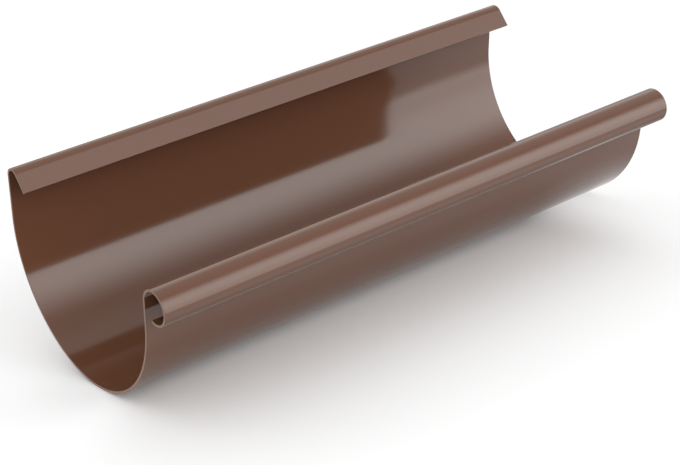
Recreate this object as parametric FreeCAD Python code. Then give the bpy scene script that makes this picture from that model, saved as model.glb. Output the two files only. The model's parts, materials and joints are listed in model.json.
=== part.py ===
import FreeCAD, Part
import math
import os

# A short cut length of half-round eaves gutter, roll-formed from one strip of painted steel.
# Millimetres. X runs along the gutter, +Y points to the back wall that faces the house, +Z is up.

# Driving dimensions
LENGTH = 325.0
SHEET = 1.3
INNER_WIDTH = 125.0

# The back wall stands above the half circle, then folds inwards into a lip that stiffens the edge
BACK_WALL_RISE = 24.2
FOLD_OUTER_RADIUS = 5.5
FOLD_TURN = 135.0
LIP_FLAT = 10.3

# The front wall ends in a round bead, rolled outwards and left open beside the wall
FRONT_WALL_RISE = 16.0
BEAD_DIAMETER = 18.5
BEAD_TURN = 287.5

# Radii of the middle of the sheet, worked out from the sizes of its faces
TROUGH_RADIUS = INNER_WIDTH / 2 + SHEET / 2
FOLD_RADIUS = FOLD_OUTER_RADIUS - SHEET / 2
BEAD_RADIUS = BEAD_DIAMETER / 2 - SHEET / 2

# Slope of the lip as it leaves its free edge, so that the fold brings the back wall to vertical
LIP_SLOPE = FOLD_TURN - 90.0
TROUGH_TURN = 180.0

# Which way a bend turns for someone who walks the strip from the lip to the bead
RIGHT = -1
LEFT = 1


def straight(length):
    """A flat stretch of the strip."""
    return {"length": length}


def bend(radius, side, turn):
    """A rolled stretch, with the radius of the middle of the sheet."""
    return {"radius": radius, "side": side, "turn": math.radians(turn)}


# The whole strip, in the order of the walk
STRIP = {
    "lip": straight(LIP_FLAT),
    "fold": bend(FOLD_RADIUS, RIGHT, FOLD_TURN),
    "back_wall": straight(BACK_WALL_RISE),
    "trough": bend(TROUGH_RADIUS, RIGHT, TROUGH_TURN),
    "front_wall": straight(FRONT_WALL_RISE),
    "bead": bend(BEAD_RADIUS, LEFT, BEAD_TURN),
}


def direction(angle):
    """Unit vector in the YZ plane, at an angle from +Y towards +Z."""
    return FreeCAD.Vector(0, math.cos(angle), math.sin(angle))


def sheet_face(offset):
    """Edges of one face of the sheet, beside the walk by the offset, positive to its left."""
    edges = {}
    place = FreeCAD.Vector()
    heading = math.radians(LIP_SLOPE)
    for name, stretch in STRIP.items():
        aside = direction(heading + math.pi / 2) * offset
        if "length" in stretch:
            end = place + direction(heading) * stretch["length"]
            edges[name] = Part.makeLine(place + aside, end + aside)
        else:
            side = stretch["side"]
            turned = side * stretch["turn"]
            inwards = direction(heading + side * math.pi / 2)
            centre = place + inwards * stretch["radius"]
            radius = stretch["radius"] - side * offset
            spokes = [
                direction(heading - side * math.pi / 2 + share * turned) * radius
                for share in (0.0, 0.5, 1.0)
            ]
            edges[name] = Part.Arc(*(centre + spoke for spoke in spokes)).toShape()
            end = centre + direction(heading - side * math.pi / 2 + turned) * stretch["radius"]
            heading += turned
        place = end
    return edges


def section():
    """The sheet's cross-section, with the centre of the trough's half circle on the X axis."""
    left = sheet_face(SHEET / 2)
    right = sheet_face(-SHEET / 2)
    lip_edge = Part.makeLine(left["lip"].Vertexes[0].Point, right["lip"].Vertexes[0].Point)
    bead_edge = Part.makeLine(left["bead"].Vertexes[-1].Point, right["bead"].Vertexes[-1].Point)
    outline = list(left.values()) + list(right.values()) + [lip_edge, bead_edge]
    face = Part.Face(Part.Wire(Part.__sortEdges__(outline)))
    face.translate(left["trough"].Curve.Center * -1)
    return face


def rest_roll(face):
    """Roll about the trough's centre that brings the centre of gravity under it, in degrees.

    The bead is heavier than the folded lip, so the gutter rocks on its round bottom, towards
    the bead, and comes to rest there.
    """
    balance = face.CenterOfMass
    return math.degrees(math.atan2(-balance.y, -balance.z))


def gutter():
    """The gutter as it lies unheld on a floor, with the origin under the middle of its box."""
    face = section()
    solid = face.extrude(FreeCAD.Vector(LENGTH, 0, 0))
    solid.rotate(FreeCAD.Vector(), FreeCAD.Vector(1, 0, 0), rest_roll(face))
    box = solid.optimalBoundingBox(False, False)
    solid.translate(FreeCAD.Vector(-box.Center.x, -box.Center.y, -box.ZMin))
    return solid


os.makedirs("parts", exist_ok=True)
gutter().exportStep("parts/gutter_channel.step")
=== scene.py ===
import json
import math

import bpy
from mathutils import Matrix, Vector


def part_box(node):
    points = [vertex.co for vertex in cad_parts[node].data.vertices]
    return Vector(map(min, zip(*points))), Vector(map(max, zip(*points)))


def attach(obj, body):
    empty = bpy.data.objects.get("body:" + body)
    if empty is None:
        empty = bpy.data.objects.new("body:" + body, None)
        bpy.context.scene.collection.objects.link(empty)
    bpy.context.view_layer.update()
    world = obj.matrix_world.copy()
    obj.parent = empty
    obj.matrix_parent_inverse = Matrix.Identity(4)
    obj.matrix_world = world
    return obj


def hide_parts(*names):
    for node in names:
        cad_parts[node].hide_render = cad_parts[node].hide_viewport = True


# A short length of half-round eaves gutter in brown painted steel, on a pale studio floor.
# Metres. X runs along the gutter, +Y points to its back wall, +Z is up.

NODE = "gutter_channel"
SLOT = "brown_paint"
PIECE = "gutter_sheet"

# Sizes of the rolled sheet, with its turns in degrees
SHEET = 0.0013
INNER_WIDTH = 0.1250
TROUGH_TURN = 180.0
BACK_WALL_RISE = 0.0242
FOLD_OUTER_RADIUS = 0.0055
FOLD_TURN = 135.0
LIP_FLAT = 0.0103
FRONT_WALL_RISE = 0.0160
BEAD_DIAMETER = 0.0185
BEAD_TURN = 287.5

# Radii of the middle of the sheet
TROUGH_RADIUS = INNER_WIDTH / 2 + SHEET / 2
FOLD_RADIUS = FOLD_OUTER_RADIUS - SHEET / 2
BEAD_RADIUS = BEAD_DIAMETER / 2 - SHEET / 2
OUTER_RADIUS = TROUGH_RADIUS + SHEET / 2

# How finely the sheet is drawn, with bends in degrees
TROUGH_STEP = 1.5
FOLD_STEP = 5.0
BEAD_STEP = 5.0
FLAT_STEP = 0.004
LENGTH_STEP = 0.012
EDGE_ROUND = 0.00012
EDGE_STEPS = 3

# The photograph's camera, in the upright section's own frame: X from the near end, Y to the back
# wall and Z up, from the centre of the trough's half circle. Its angles are in degrees, and the
# axis of its lens meets the picture AXIS_UP_PIXELS above the middle.
CAMERA_PLACE = Vector((-0.3198, -0.6197, 0.4445))
CAMERA_HEADING = 52.169
CAMERA_DIP = 29.311
FOCAL_PIXELS = 1691.1
PHOTO_WIDTH = 680
AXIS_UP_PIXELS = 70.3
SENSOR_WIDTH = 36.0
CLIP_NEAR = 0.01
CLIP_FAR = 100.0

# The coil coating, glossy and even, and the paler edge where the sheet was cut across. That edge is
# bare sheet made paler with painted light on the faces at the ends. A detail is how many finer
# layers a noise has.
PAINT = (0.130, 0.055, 0.030)
PAINT_ROUGHNESS = (0.10, 0.13)
PAINT_IOR = 1.5
SHADE_SPREAD = 0.025
SHADE_PATCH = 0.060
GLOSS_PATCH = 0.025
PATCH_DETAIL = 2.0
PEEL_SIZE = 0.0012
PEEL_HEIGHT = 0.0000007
PEEL_DETAIL = 1.0
WAVE_LENGTH = 0.400
WAVE_WIDTH = 0.018
WAVE_HEIGHT = 0.000012
WAVE_DETAIL = 0.0
# The cut edge's colour, paler than the coating as painted light on the end faces
CUT_EDGE_AND_PAINTED_LIGHT = (0.255, 0.143, 0.100)
CUT_ROUGHNESS = 0.40

# Slopes are two pairs of a place and the level there. Here the place is how far a face looks
# along the gutter, and the level is its share of bare cut edge with painted light.
CUT_FACING = ((0.5, 0.0), (0.9, 1.0))

# The studio's light by its direction. The band is what the gloss mirrors in the photo's view: a
# soft box in front of the gutter, a faint glow behind it and a plainer light all round. The rim is
# the light from all other directions. Places are shares of the direction along X or Z, or degrees
# round X: 0 is straight down, 90 the horizon in front of the gutter, 180 straight up and 270 the
# horizon behind it.
BAND_START = ((0.28, 0.0), (0.36, 1.0))
BAND_END = ((0.68, 1.0), (0.80, 0.0))
PLAIN_STRENGTH = 0.92
PLAIN_FLOOR = ((0.0, 0.6), (30.0, 1.35))
PLAIN_FRONT = ((60.0, 1.0), (80.0, 0.58))
PLAIN_TOP = ((150.0, 1.0), (176.0, 1.3))
PLAIN_BEHIND = ((225.0, 1.0), (280.0, 0.55))
BOX_STRENGTH = 3.2
BOX_FOOT = ((56.0, 0.0), (69.0, 1.0))
BOX_SWELL = ((66.0, 0.66), (100.0, 1.0))
BOX_FADE = ((112.0, 1.0), (152.0, 0.0))
GLOW_STRENGTH = 0.55
GLOW_RISE = ((200.0, 0.0), (230.0, 1.0))
GLOW_FADE = ((236.0, 1.0), (252.0, 0.0))
RIM_HEIGHT = ((0.35, 1.65), (0.97, 0.80))
RIM_FOOT = ((-0.25, 0.0), (0.0, 1.0))
RIM_LEFT = ((-0.70, 0.0), (-0.40, 1.0))
RIM_WEAK = 0.75

# The floor is white to the eye and in the gloss, and throws back less light on the gutter. Its
# shadow is a little lifted, and more so towards the far end, by places along X from that end. In
# the gloss the floor fades into the studio's light past a strip along the trough.
FLOOR_SIZE = 40.0
FLOOR_SEEN = 1.0
FLOOR_BOUNCE = 0.6
SHADOW_LIFT = ((-0.060, 0.05), (-0.010, 0.65))
MIRROR_HALF = 0.045
MIRROR_FADE = 0.070


def straight(length):
    """A flat stretch of the strip."""
    return {"length": length, "turn": 0.0, "parts": max(1, round(length / FLAT_STEP))}


def bend(radius, degrees, step):
    """A rolled stretch, by the middle of the sheet; it turns left where the angle is positive."""
    turn = math.radians(degrees)
    return {"length": radius * abs(turn), "turn": turn, "parts": round(abs(degrees) / step)}


# The strip from the lip's free edge to the bead's
TROUGH = bend(TROUGH_RADIUS, -TROUGH_TURN, TROUGH_STEP)
STRIP = [
    straight(LIP_FLAT),
    bend(FOLD_RADIUS, -FOLD_TURN, FOLD_STEP),
    straight(BACK_WALL_RISE),
    TROUGH,
    straight(FRONT_WALL_RISE),
    bend(BEAD_RADIUS, BEAD_TURN, BEAD_STEP),
]
STRIP_WIDTH = sum(stretch["length"] for stretch in STRIP)
LIP_HEADING = math.radians(FOLD_TURN - 90.0)


def along(distance):
    """Middle of the sheet, and the direction to its left face, at a distance from the lip's edge.

    Both are in the plane of the upright section, from the start of the walk.
    """
    place = Vector((0.0, 0.0))
    heading = LIP_HEADING
    for stretch in STRIP:
        walked = min(distance, stretch["length"])
        turned = stretch["turn"] * walked / stretch["length"]
        chord = walked
        if turned:
            chord = 2 * walked / turned * math.sin(turned / 2)
        middle = heading + turned / 2
        place = place + Vector((math.cos(middle), math.sin(middle))) * chord
        heading += turned
        distance -= walked
        if distance <= 0:
            break
    return place, Vector((-math.sin(heading), math.cos(heading)))


def trough_centre():
    """Centre of the half circle, from the start of the walk."""
    before = sum(stretch["length"] for stretch in STRIP[:STRIP.index(TROUGH)])
    place, left = along(before)
    return place - left * TROUGH_RADIUS


def stations():
    """Distances along the strip at which the sheet gets a row of points."""
    marks = [EDGE_ROUND]
    start = 0.0
    for stretch in STRIP:
        marks += [start + stretch["length"] * i / stretch["parts"] for i in range(stretch["parts"])]
        start += stretch["length"]
    marks.append(STRIP_WIDTH - EDGE_ROUND)
    return sorted(mark for mark in marks if EDGE_ROUND <= mark <= STRIP_WIDTH - EDGE_ROUND)


def outline(inset):
    """One closed ring round the sheet's section, drawn in by the inset, with outward directions."""
    marks = stations()
    reach = EDGE_ROUND - inset
    quarter = [math.pi / 2 * i / EDGE_STEPS for i in range(1, EDGE_STEPS + 1)]
    # Each point has its distance along the strip, its face, 1 for the left one and -1 for the
    # right one, and its angle round a free edge
    ring = [(mark, 1, 0.0) for mark in marks]
    ring += [(marks[-1], 1, angle) for angle in quarter]
    ring += [(marks[-1], -1, angle) for angle in reversed(quarter)]
    ring += [(mark, -1, 0.0) for mark in reversed(marks)]
    ring += [(marks[0], -1, -angle) for angle in quarter]
    ring += [(marks[0], 1, -angle) for angle in reversed(quarter)]
    centre = trough_centre()
    points = []
    for mark, side, angle in ring:
        place, left = along(mark)
        forward = Vector((left.y, -left.x))
        outward = forward * math.sin(angle) + left * side * math.cos(angle)
        core = place - centre + left * side * (SHEET / 2 - EDGE_ROUND)
        points.append((core + outward * reach, outward))
    return points


def rings(length):
    """Places along X with their inset and the tilt of their normals towards the end."""
    edge = []
    for i in range(EDGE_STEPS + 1):
        angle = math.pi / 2 * i / EDGE_STEPS
        edge.append((EDGE_ROUND * (1 - math.sin(angle)), EDGE_ROUND * (1 - math.cos(angle)), angle))
    edge.reverse()
    inner = round(length / LENGTH_STEP)
    rows = [(x, inset, -angle) for x, inset, angle in edge]
    rows += [(length * i / inner, 0.0, 0.0) for i in range(1, inner)]
    rows += [(length - x, inset, angle) for x, inset, angle in reversed(edge)]
    return rows


def skin_faces(rows, around):
    """The faces between each ring and the next, by the number of rings and of points in one."""
    faces = []
    for row in range(rows - 1):
        for i in range(around):
            here = row * around + i
            beside = row * around + (i + 1) % around
            faces.append((here, here + around, beside + around, beside))
    return faces


def end_faces(around, last):
    """The faces that close both cut ends, by the points in a ring and the last ring's first point.

    They are steps along the strip between its two sides, and a loop at each free edge.
    """
    faces = []
    side = len(stations())
    corner = 2 * EDGE_STEPS
    for i in range(side - 1):
        twin = 2 * side + corner - 1 - i
        faces.append((i, i + 1, twin - 1, twin))
        faces.append((last + twin, last + twin - 1, last + i + 1, last + i))
    bead_end = list(range(side - 1, side + corner + 1))
    lip_end = list(range(2 * side + corner - 1, around)) + [0]
    for loop in (bead_end, lip_end):
        faces.append(tuple(loop))
        faces.append(tuple(last + i for i in reversed(loop)))
    return faces


def make_sheet(length, matrix):
    """The gutter as one closed mesh with small round edges and true normals."""
    vertices = []
    normals = []
    rows = rings(length)
    for x, inset, tilt in rows:
        for point, outward in outline(inset):
            vertices.append(Vector((x, point.x, point.y)))
            aside = outward * math.cos(tilt)
            normals.append(Vector((math.sin(tilt), aside.x, aside.y)))
    around = len(vertices) // len(rows)
    last = (len(rows) - 1) * around
    faces = skin_faces(len(rows), around) + end_faces(around, last)
    mesh = bpy.data.meshes.new(PIECE)
    mesh.from_pydata([matrix @ vertex for vertex in vertices], [], faces)
    mesh.validate()
    turn = matrix.to_3x3()
    mesh.shade_smooth()
    mesh.normals_split_custom_set_from_vertices([turn @ normal for normal in normals])
    sheet = bpy.data.objects.new(PIECE, mesh)
    bpy.context.scene.collection.objects.link(sheet)
    return sheet


def math_node(tree, operation, first, *others):
    """Math on one value, or on several in turn; values are sockets or numbers."""
    result = first
    for other in others or (0.0,):
        node = tree.nodes.new("ShaderNodeMath")
        node.operation = operation
        for socket, value in zip(node.inputs, (result, other)):
            if isinstance(value, (int, float)):
                socket.default_value = value
            else:
                tree.links.new(value, socket)
        result = node.outputs[0]
    return result


def ramp_node(tree, value, slope):
    """A smooth slope between two pairs of a value and its level, flat outside them."""
    (low, low_level), (high, high_level) = slope
    node = tree.nodes.new("ShaderNodeMapRange")
    node.interpolation_type = "SMOOTHSTEP"
    tree.links.new(value, node.inputs["Value"])
    node.inputs["From Min"].default_value = low
    node.inputs["From Max"].default_value = high
    node.inputs["To Min"].default_value = low_level
    node.inputs["To Max"].default_value = high_level
    return node.outputs["Result"]


def ramps(tree, value, *slopes):
    """Several slopes of one value."""
    return [ramp_node(tree, value, slope) for slope in slopes]


def mix_values(tree, share, first, second):
    """A value that goes from the first to the second as the share goes from 0 to 1."""
    rest = math_node(tree, "SUBTRACT", 1.0, share)
    first_part = math_node(tree, "MULTIPLY", first, rest)
    second_part = math_node(tree, "MULTIPLY", second, share)
    return math_node(tree, "ADD", first_part, second_part)


def axes_node(tree, vector):
    """The X, Y and Z of a vector."""
    node = tree.nodes.new("ShaderNodeSeparateXYZ")
    tree.links.new(vector, node.inputs[0])
    return node.outputs


def noise_node(tree, size, detail):
    """Noise from 0 to 1 in the gutter's own frame, with lumps of a size along X, Y and Z."""
    place = tree.nodes.new("ShaderNodeTexCoord")
    stretch = tree.nodes.new("ShaderNodeVectorMath")
    stretch.operation = "DIVIDE"
    stretch.inputs[1].default_value = size
    noise = tree.nodes.new("ShaderNodeTexNoise")
    noise.inputs["Scale"].default_value = 1.0
    noise.inputs["Detail"].default_value = detail
    tree.links.new(place.outputs["Object"], stretch.inputs[0])
    tree.links.new(stretch.outputs[0], noise.inputs["Vector"])
    return noise.outputs["Fac"]


def mix_node(tree, share, first, second):
    """A mix of two colours, which are sockets or triples."""
    node = tree.nodes.new("ShaderNodeMix")
    node.data_type = "RGBA"
    tree.links.new(share, node.inputs["Factor"])
    # The node's inputs 6 and 7 and its output 2 are the ones for colours
    for socket, value in ((node.inputs[6], first), (node.inputs[7], second)):
        if isinstance(value, tuple):
            socket.default_value = (*value, 1.0)
        else:
            tree.links.new(value, socket)
    return node.outputs[2]


def bump_node(tree, height, distance, normal=None):
    """A bump whose full height is a real distance, over another bump where one is given."""
    node = tree.nodes.new("ShaderNodeBump")
    node.inputs["Distance"].default_value = distance
    tree.links.new(height, node.inputs["Height"])
    if normal:
        tree.links.new(normal, node.inputs["Normal"])
    return node.outputs["Normal"]


def cut_and_painted_light_share(tree):
    """1 on the faces where the gutter was cut to length, which are bare and paler with painted
    light, and 0 on the coated ones.
    """
    surface = tree.nodes.new("ShaderNodeNewGeometry")
    towards_end = math_node(tree, "ABSOLUTE", axes_node(tree, surface.outputs["Normal"])["X"])
    return ramp_node(tree, towards_end, CUT_FACING)


def paint_material():
    """Glossy brown coil coating with a fine orange peel, on sheet that is bare where it was cut and
    paler there with painted light.
    """
    material = bpy.data.materials.new(SLOT)
    material.use_nodes = True
    tree = material.node_tree
    shader = tree.nodes["Principled BSDF"]
    shader.inputs["IOR"].default_value = PAINT_IOR
    cut = cut_and_painted_light_share(tree)

    shade = noise_node(tree, (SHADE_PATCH,) * 3, PATCH_DETAIL)
    deep = tuple(level * (1 - SHADE_SPREAD) for level in PAINT)
    light = tuple(level * (1 + SHADE_SPREAD) for level in PAINT)
    paint = mix_node(tree, shade, deep, light)
    # The cut ends get the paler colour: bare sheet with painted light
    colour = mix_node(tree, cut, paint, CUT_EDGE_AND_PAINTED_LIGHT)
    tree.links.new(colour, shader.inputs["Base Color"])

    smooth, rough = PAINT_ROUGHNESS
    gloss = noise_node(tree, (GLOSS_PATCH,) * 3, PATCH_DETAIL)
    painted = math_node(tree, "ADD", math_node(tree, "MULTIPLY", gloss, rough - smooth), smooth)
    bare = math_node(tree, "MULTIPLY", cut, CUT_ROUGHNESS)
    tree.links.new(math_node(tree, "MAXIMUM", painted, bare), shader.inputs["Roughness"])

    wave = noise_node(tree, (WAVE_LENGTH, WAVE_WIDTH, WAVE_WIDTH), WAVE_DETAIL)
    peel = noise_node(tree, (PEEL_SIZE,) * 3, PEEL_DETAIL)
    rolled = bump_node(tree, wave, WAVE_HEIGHT)
    tree.links.new(bump_node(tree, peel, PEEL_HEIGHT, rolled), shader.inputs["Normal"])
    return material


def make_camera(matrix):
    """The photograph's view, turned with the gutter as it lies on the floor."""
    heading = math.radians(CAMERA_HEADING)
    dip = math.radians(CAMERA_DIP)
    ahead = Vector((
        math.cos(dip) * math.cos(heading),
        math.cos(dip) * math.sin(heading),
        -math.sin(dip),
    ))
    right = Vector((math.sin(heading), -math.cos(heading), 0.0))
    up = right.cross(ahead)
    turn = Matrix((right, up, -ahead)).transposed().to_4x4()
    data = bpy.data.cameras.new("photo_camera")
    data.sensor_width = SENSOR_WIDTH
    data.lens = SENSOR_WIDTH * FOCAL_PIXELS / PHOTO_WIDTH
    data.shift_y = -AXIS_UP_PIXELS / PHOTO_WIDTH
    data.clip_start = CLIP_NEAR
    data.clip_end = CLIP_FAR
    camera = bpy.data.objects.new("photo_camera", data)
    camera.matrix_world = matrix @ Matrix.Translation(CAMERA_PLACE) @ turn
    bpy.context.scene.collection.objects.link(camera)
    bpy.context.scene.camera = camera


def diffuse_node(tree, level):
    """A matt grey or white surface."""
    node = tree.nodes.new("ShaderNodeBsdfDiffuse")
    node.inputs["Color"].default_value = (level, level, level, 1.0)
    return node.outputs[0]


def mix_surfaces(tree, share, first, second):
    """One surface that turns into another as the share goes from 0 to 1."""
    node = tree.nodes.new("ShaderNodeMixShader")
    for socket, value in zip(node.inputs, (share, first, second)):
        tree.links.new(value, socket)
    return node.outputs[0]


def outside(tree, axis, middle, half):
    """How far a point of the floor is from a strip across one axis."""
    offset = math_node(tree, "ABSOLUTE", math_node(tree, "SUBTRACT", axis, middle))
    return math_node(tree, "MAXIMUM", math_node(tree, "SUBTRACT", offset, half), 0.0)


def floor_material(near, far):
    """White matt floor that the gloss mirrors only near the gutter, by the trough's end centres."""
    material = bpy.data.materials.new("white_floor")
    material.use_nodes = True
    tree = material.node_tree
    tree.nodes.clear()
    place = tree.nodes.new("ShaderNodeTexCoord")
    axes = axes_node(tree, place.outputs["Object"])
    path = tree.nodes.new("ShaderNodeLightPath").outputs
    gloss = path["Is Glossy Ray"]
    seen = math_node(tree, "MAXIMUM", path["Is Camera Ray"], path["Is Transmission Ray"], gloss)

    bounce = diffuse_node(tree, FLOOR_BOUNCE)
    matt = mix_surfaces(tree, seen, bounce, diffuse_node(tree, FLOOR_SEEN))
    from_end = math_node(tree, "SUBTRACT", axes["X"], far.x)
    lift = math_node(tree, "MULTIPLY", ramp_node(tree, from_end, SHADOW_LIFT), seen)
    lifted = mix_surfaces(tree, lift, matt, tree.nodes.new("ShaderNodeEmission").outputs[0])

    aside = outside(tree, axes["X"], (near.x + far.x) / 2, (far.x - near.x) / 2)
    across = outside(tree, axes["Y"], near.y, MIRROR_HALF)
    squares = [math_node(tree, "MULTIPLY", way, way) for way in (aside, across)]
    away = math_node(tree, "SQRT", math_node(tree, "ADD", *squares))
    faded = ramp_node(tree, away, ((0.0, 0.0), (MIRROR_FADE, 1.0)))
    unseen = math_node(tree, "MULTIPLY", faded, gloss)
    clear = tree.nodes.new("ShaderNodeBsdfTransparent").outputs[0]
    output = tree.nodes.new("ShaderNodeOutputMaterial")
    tree.links.new(mix_surfaces(tree, unseen, lifted, clear), output.inputs["Surface"])
    return material


def make_floor(near, far):
    """A wide floor that keeps the gutter's shadow."""
    mesh = bpy.data.meshes.new("floor")
    half = FLOOR_SIZE / 2
    corners = [(-half, -half, 0.0), (half, -half, 0.0), (half, half, 0.0), (-half, half, 0.0)]
    mesh.from_pydata(corners, [], [(0, 1, 2, 3)])
    mesh.materials.append(floor_material(near, far))
    floor = bpy.data.objects.new("floor", mesh)
    bpy.context.scene.collection.objects.link(floor)


def band_light(tree, angle):
    """A large soft box along the gutter's front and a faint one behind, over a plainer light."""
    box = ramps(tree, angle, BOX_FOOT, BOX_SWELL, BOX_FADE)
    glow = ramps(tree, angle, GLOW_RISE, GLOW_FADE)
    plain = ramps(tree, angle, PLAIN_FLOOR, PLAIN_FRONT, PLAIN_TOP, PLAIN_BEHIND)
    return math_node(
        tree,
        "ADD",
        math_node(tree, "MULTIPLY", *box, BOX_STRENGTH),
        math_node(tree, "MULTIPLY", *glow, GLOW_STRENGTH),
        math_node(tree, "MULTIPLY", *plain, PLAIN_STRENGTH),
    )


def rim_light(tree, axes):
    """Light from all round, strongest from low down and weak from the left and from below."""
    height, foot = ramps(tree, axes["Z"], RIM_HEIGHT, RIM_FOOT)
    left = ramp_node(tree, axes["X"], RIM_LEFT)
    return mix_values(tree, math_node(tree, "MULTIPLY", foot, left), RIM_WEAK, height)


def make_world():
    """The studio's light, which the gloss mirrors, and plain white past the floor to the eye."""
    world = bpy.data.worlds.new("studio")
    world.use_nodes = True
    tree = world.node_tree
    background = tree.nodes["Background"]
    background.inputs["Color"].default_value = (1.0, 1.0, 1.0, 1.0)
    place = tree.nodes.new("ShaderNodeTexCoord")
    axes = axes_node(tree, place.outputs["Generated"])
    forward = math_node(tree, "MULTIPLY", axes["Y"], -1.0)
    down = math_node(tree, "MULTIPLY", axes["Z"], -1.0)
    turned = math_node(tree, "DEGREES", math_node(tree, "ARCTAN2", forward, down))
    angle = math_node(tree, "FLOORED_MODULO", turned, 360.0)
    band = math_node(tree, "MULTIPLY", *ramps(tree, axes["X"], BAND_START, BAND_END))
    light = mix_values(tree, band, rim_light(tree, axes), band_light(tree, angle))
    path = tree.nodes.new("ShaderNodeLightPath").outputs
    seen = math_node(tree, "MAXIMUM", path["Is Camera Ray"], path["Is Transmission Ray"])
    tree.links.new(mix_values(tree, seen, light, 1.0), background.inputs["Strength"])
    bpy.context.scene.world = world


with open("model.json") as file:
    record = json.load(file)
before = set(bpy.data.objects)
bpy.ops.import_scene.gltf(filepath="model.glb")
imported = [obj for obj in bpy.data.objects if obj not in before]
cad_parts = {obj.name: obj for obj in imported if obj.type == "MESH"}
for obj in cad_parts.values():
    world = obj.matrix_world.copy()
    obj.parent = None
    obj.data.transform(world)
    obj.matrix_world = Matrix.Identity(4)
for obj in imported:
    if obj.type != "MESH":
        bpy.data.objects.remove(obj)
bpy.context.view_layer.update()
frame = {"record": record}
low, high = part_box(NODE)

# The section's roll as it lies, and the trough's centres at its two ends
wall = next(mount for mount in frame["record"]["mounts"] if mount["name"] == "back_wall")
rest_roll = math.atan2(wall["axis"][2], wall["axis"][1])
near_centre = Vector((low.x, high.y - OUTER_RADIUS, OUTER_RADIUS))
far_centre = Vector((high.x, near_centre.y, near_centre.z))
gutter_matrix = Matrix.Translation(near_centre) @ Matrix.Rotation(rest_roll, 4, "X")

sheet = make_sheet(high.x - low.x, gutter_matrix)
sheet.data.materials.append(paint_material())
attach(sheet, "root")
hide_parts(NODE)

make_floor(near_centre, far_centre)
make_world()
make_camera(gutter_matrix)
bpy.context.scene.view_settings.view_transform = "Standard"
